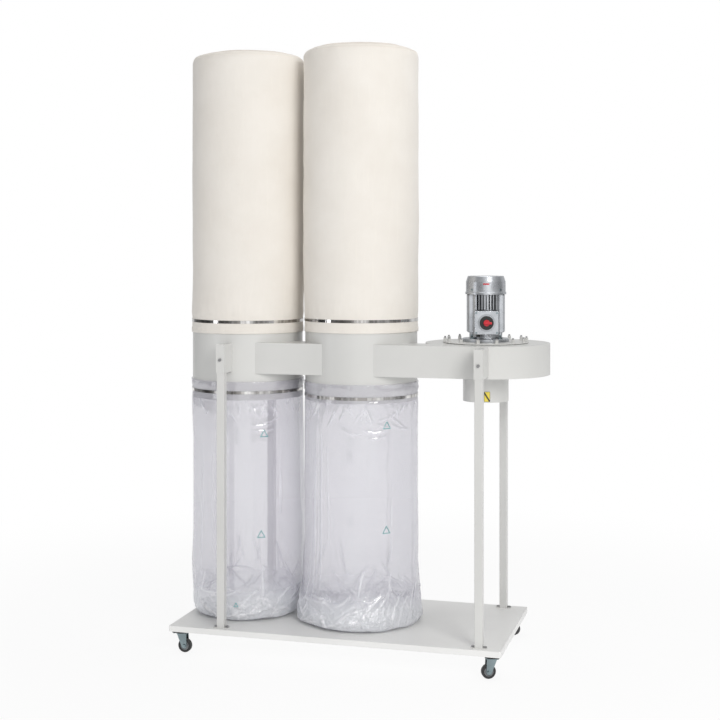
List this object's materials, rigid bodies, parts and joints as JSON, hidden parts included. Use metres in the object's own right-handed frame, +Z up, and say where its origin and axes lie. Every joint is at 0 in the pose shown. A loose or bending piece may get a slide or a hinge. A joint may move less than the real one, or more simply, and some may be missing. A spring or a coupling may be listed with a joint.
{
  "type": "dust collector",
  "caption": "Mobile dust collector: upright fan and motor, ducts to drums with cloth filter bags above and clear dust bags below, on a tray with swivel casters.",
  "frame": {"origin": "on the floor under the middle of the bounding box, which is 58 mm to the right of the tray's centre", "axes": "+Z up; +X from the bags towards the fan and motor; +Y towards the rear, so the side with the switch faces -Y"},
  "size_m": [1.628, 0.73, 2.66],
  "materials": {
    "frame_paint": "light grey semi-gloss paint",
    "tray_paint": "light grey gloss paint",
    "zinc": "bright zinc plate",
    "black_paint": "black satin paint",
    "dark_zinc": "dark zinc plate",
    "polished_steel": "polished stainless strap",
    "machined_steel": "turned steel",
    "laminations": "stacked sheet steel",
    "copper": "varnished copper",
    "motor_paint": "silver-grey enamel",
    "filter_cloth": "cream woven cloth",
    "clear_film": "clear flexible film",
    "tyre_rubber": "black rubber",
    "hub_plastic": "grey nylon",
    "black_plastic": "black moulded plastic",
    "red_plastic": "red moulded plastic",
    "label_print": "printed yellow label",
    "bag_print": "blue-green ink on film",
    "sewing_thread": "cream polyester thread",
    "gasket_rubber": "black cellular rubber"
  },
  "bodies": {
    "frame": {"base_tray": "tray_paint", "caster_pads": "tray_paint", "caster_plates": "black_paint", "caster_bolts": "zinc", "left_posts": "frame_paint", "right_posts": "frame_paint", "post_bolts": "dark_zinc", "post_brackets": "frame_paint", "left_drum": "frame_paint", "right_drum": "frame_paint", "connecting_duct": "frame_paint", "outlet_duct": "frame_paint", "scroll_wall": "frame_paint", "housing_top": "frame_paint", "housing_bottom": "frame_paint", "inlet_collar": "frame_paint", "motor_plate_gasket": "gasket_rubber", "motor_plate": "frame_paint", "plate_studs": "dark_zinc", "stud_nuts": "frame_paint", "stator_core": "laminations", "stator_windings": "copper", "motor_bearings": "machined_steel", "motor_flange": "motor_paint", "motor_body": "motor_paint", "rear_end_shield": "motor_paint", "fan_cowl": "motor_paint", "terminal_box": "motor_paint", "terminal_box_lid": "motor_paint", "switch_plate": "black_plastic", "cable_gland": "black_plastic", "motor_bolts": "zinc", "left_filter_bag": "filter_cloth", "right_filter_bag": "filter_cloth", "left_dust_bag": "clear_film", "right_dust_bag": "clear_film", "filter_clamp_bands": "polished_steel", "dust_bag_clamp_bands": "polished_steel"},
    "rotor": {"impeller": "frame_paint", "impeller_bolt": "dark_zinc", "motor_shaft": "machined_steel", "rotor_core": "laminations", "cooling_fan": "black_plastic"},
    "switch_knob": {"switch_knob": "red_plastic"},
    "left_filter_lever": {"left_filter_lever": "polished_steel"},
    "right_filter_lever": {"right_filter_lever": "polished_steel"},
    "left_dust_bag_lever": {"left_dust_bag_lever": "polished_steel"},
    "right_dust_bag_lever": {"right_dust_bag_lever": "polished_steel"},
    "front_left_fork": {"front_left_fork": "zinc"},
    "front_left_wheel": {"front_left_hub": "hub_plastic", "front_left_tyre": "tyre_rubber"},
    "front_right_fork": {"front_right_fork": "zinc"},
    "front_right_wheel": {"front_right_hub": "hub_plastic", "front_right_tyre": "tyre_rubber"},
    "rear_left_fork": {"rear_left_fork": "zinc"},
    "rear_left_wheel": {"rear_left_hub": "hub_plastic", "rear_left_tyre": "tyre_rubber"},
    "rear_right_fork": {"rear_right_fork": "zinc"},
    "rear_right_wheel": {"rear_right_hub": "hub_plastic", "rear_right_tyre": "tyre_rubber"}
  },
  "joints": [
    {"name": "rotor_spin", "type": "hinge", "parent": "frame", "child": "rotor", "pos_m": [0.532, 0.068, 1.41], "axis": [0, 0, 1], "continuous": true},
    {"name": "switch_turn", "type": "hinge", "parent": "frame", "child": "switch_knob", "pos_m": [0.55903, -0.05916, 1.4445], "axis": [0.2079, -0.9781, 0], "range_deg": [0, 90]},
    {"name": "left_filter_lever_turn", "type": "hinge", "parent": "frame", "child": "left_filter_lever", "pos_m": [-0.37031, 0.17929, 1.442], "axis": [0, 0, -1], "range_deg": [0, 100]},
    {"name": "right_filter_lever_turn", "type": "hinge", "parent": "frame", "child": "right_filter_lever", "pos_m": [0.16769, 0.17929, 1.452], "axis": [0, 0, -1], "range_deg": [0, 100]},
    {"name": "left_dust_bag_lever_turn", "type": "hinge", "parent": "frame", "child": "left_dust_bag_lever", "pos_m": [-0.37063, 0.17891, 1.132], "axis": [0, 0, -1], "range_deg": [0, 100]},
    {"name": "right_dust_bag_lever_turn", "type": "hinge", "parent": "frame", "child": "right_dust_bag_lever", "pos_m": [0.16737, 0.17891, 1.12], "axis": [0, 0, -1], "range_deg": [0, 100]},
    {"name": "front_left_swivel", "type": "hinge", "parent": "frame", "child": "front_left_fork", "pos_m": [-0.749, -0.32, 0.082], "axis": [0, 0, 1], "continuous": true},
    {"name": "front_left_wheel_spin", "type": "hinge", "parent": "front_left_fork", "child": "front_left_wheel", "pos_m": [-0.729, -0.32, 0.03], "axis": [0, -1, 0], "continuous": true},
    {"name": "front_right_swivel", "type": "hinge", "parent": "frame", "child": "front_right_fork", "pos_m": [0.633, -0.32, 0.082], "axis": [0, 0, 1], "continuous": true},
    {"name": "front_right_wheel_spin", "type": "hinge", "parent": "front_right_fork", "child": "front_right_wheel", "pos_m": [0.61487, -0.32845, 0.03], "axis": [-0.4226, 0.9063, 0], "continuous": true},
    {"name": "rear_left_swivel", "type": "hinge", "parent": "frame", "child": "rear_left_fork", "pos_m": [-0.749, 0.32, 0.082], "axis": [0, 0, 1], "continuous": true},
    {"name": "rear_left_wheel_spin", "type": "hinge", "parent": "rear_left_fork", "child": "rear_left_wheel", "pos_m": [-0.73021, 0.32684, 0.03], "axis": [0.342, -0.9397, 0], "continuous": true},
    {"name": "rear_right_swivel", "type": "hinge", "parent": "frame", "child": "rear_right_fork", "pos_m": [0.633, 0.32, 0.082], "axis": [0, 0, 1], "continuous": true},
    {"name": "rear_right_wheel_spin", "type": "hinge", "parent": "rear_right_fork", "child": "rear_right_wheel", "pos_m": [0.61421, 0.32684, 0.03], "axis": [0.342, 0.9397, 0], "continuous": true}
  ]
}
